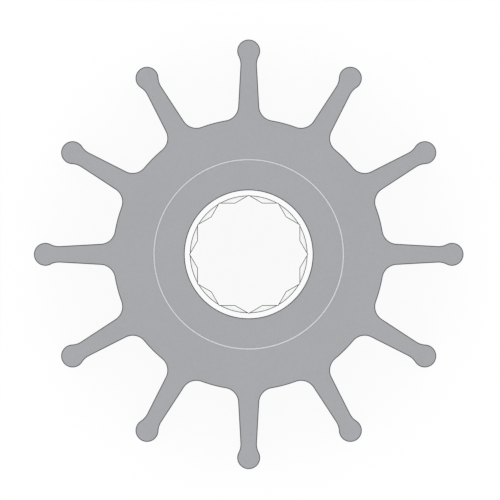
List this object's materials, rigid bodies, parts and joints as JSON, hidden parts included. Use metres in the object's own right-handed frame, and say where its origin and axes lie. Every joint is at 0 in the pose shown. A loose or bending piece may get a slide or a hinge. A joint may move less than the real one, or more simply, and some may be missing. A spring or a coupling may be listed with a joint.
{
  "type": "rubber pump impeller",
  "caption": "Flexible rubber pump impeller: straight tapered vanes with round tip beads on a thick hub, bonded round a metal insert with a pointed drive bore for a shaft.",
  "frame": {"origin": "where the shaft axis meets the lower end face of the rubber wheel", "axes": "+Z along the shaft axis, away from the end face that it lies on; +X along the middle of one vane; +Y along the middle of the vane a quarter turn further on"},
  "size_m": [0.0952, 0.0952, 0.0635],
  "materials": {
    "rubber": "matte",
    "insert_metal": "satin"
  },
  "bodies": {
    "root": {"rubber_body": "rubber", "drive_insert": "insert_metal"}
  },
  "joints": []
}
